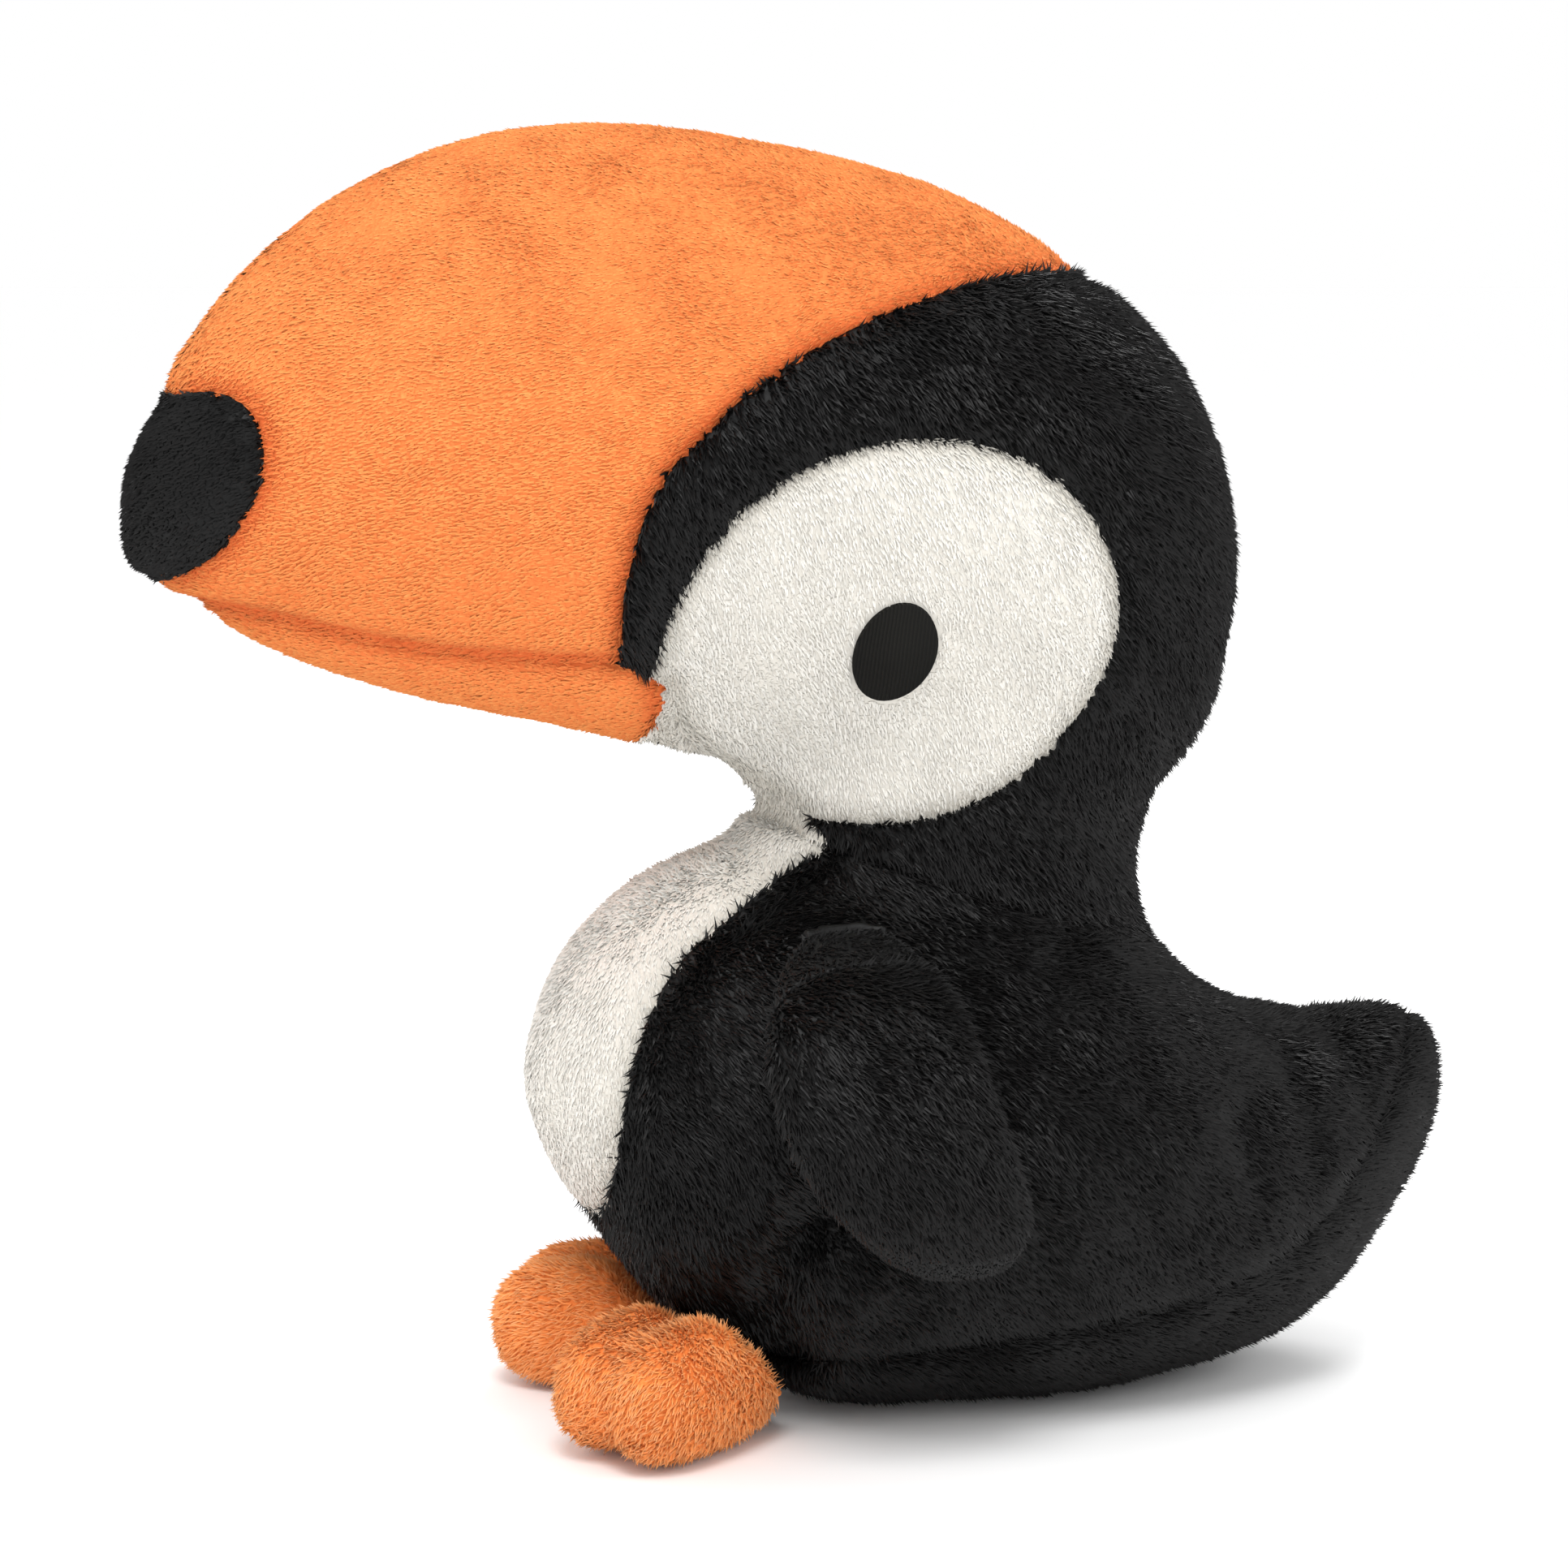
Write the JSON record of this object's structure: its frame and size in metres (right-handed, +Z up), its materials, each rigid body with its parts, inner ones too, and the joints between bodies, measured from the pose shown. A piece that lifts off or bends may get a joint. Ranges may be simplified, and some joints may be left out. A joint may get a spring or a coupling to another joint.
{
  "type": "plush toucan",
  "caption": "Sitting plush toucan with a large stuffed beak that droops over its chest, a turning head, flapping wings, floppy feet and an upturned tail.",
  "frame": {"origin": "middle of the flat patch underneath that the toy sits on", "axes": "+Z up, the bird faces -X, its own left side is -Y"},
  "size_m": [0.231, 0.113, 0.2145],
  "materials": {
    "orange_plush": "matte",
    "black_plush": "matte",
    "white_plush": "matte",
    "pupil_thread": "matte",
    "stuffing": "matte",
    "pouch_cloth": "matte",
    "pellets": "matte"
  },
  "bodies": {
    "torso": {"bib": "white_plush", "body_left": "black_plush", "body_right": "black_plush", "base_gusset": "black_plush", "body_stuffing": "stuffing", "bean_pouch": "pouch_cloth", "bean_pellets": "pellets"},
    "neck": {"neck_stuffing": "stuffing"},
    "head": {"beak_upper_left": "orange_plush", "beak_upper_right": "orange_plush", "beak_tip_left": "black_plush", "beak_tip_right": "black_plush", "beak_lower": "orange_plush", "head_left": "black_plush", "head_right": "black_plush", "eye_patch_left": "white_plush", "eye_patch_right": "white_plush", "pupil_left": "pupil_thread", "pupil_right": "pupil_thread", "throat": "white_plush", "beak_stuffing": "stuffing", "head_stuffing": "stuffing"},
    "wing_left": {"wing_outer_left": "black_plush", "wing_inner_left": "black_plush", "wing_stuffing_left": "stuffing"},
    "wing_right": {"wing_outer_right": "black_plush", "wing_inner_right": "black_plush", "wing_stuffing_right": "stuffing"},
    "foot_left": {"foot_upper_left": "orange_plush", "foot_sole_left": "orange_plush", "foot_stuffing_left": "stuffing"},
    "foot_right": {"foot_upper_right": "orange_plush", "foot_sole_right": "orange_plush", "foot_stuffing_right": "stuffing"}
  },
  "joints": [
    {"name": "neck_nod", "type": "hinge", "parent": "torso", "child": "neck", "pos_m": [-0.012, 0, 0.055], "axis": [0, -1, 0], "range_deg": [-10, 8]},
    {"name": "neck_turn", "type": "hinge", "parent": "neck", "child": "head", "pos_m": [-0.012, 0, 0.055], "axis": [0.3206, 0, 0.9472], "range_deg": [-20, 20]},
    {"name": "wing_lift_left", "type": "hinge", "parent": "torso", "child": "wing_left", "pos_m": [-0.03, -0.03084, 0.088], "axis": [-1, 0, 0], "range_deg": [0, 60]},
    {"name": "wing_lift_right", "type": "hinge", "parent": "torso", "child": "wing_right", "pos_m": [-0.03, 0.03084, 0.088], "axis": [1, 0, 0], "range_deg": [0, 60]},
    {"name": "foot_flex_left", "type": "hinge", "parent": "torso", "child": "foot_left", "pos_m": [-0.03927, -0.00986, 0.004], "axis": [0.5299, -0.848, 0], "range_deg": [0, 20]},
    {"name": "foot_flex_right", "type": "hinge", "parent": "torso", "child": "foot_right", "pos_m": [-0.03927, 0.00986, 0.004], "axis": [-0.5299, -0.848, 0], "range_deg": [0, 20]}
  ]
}
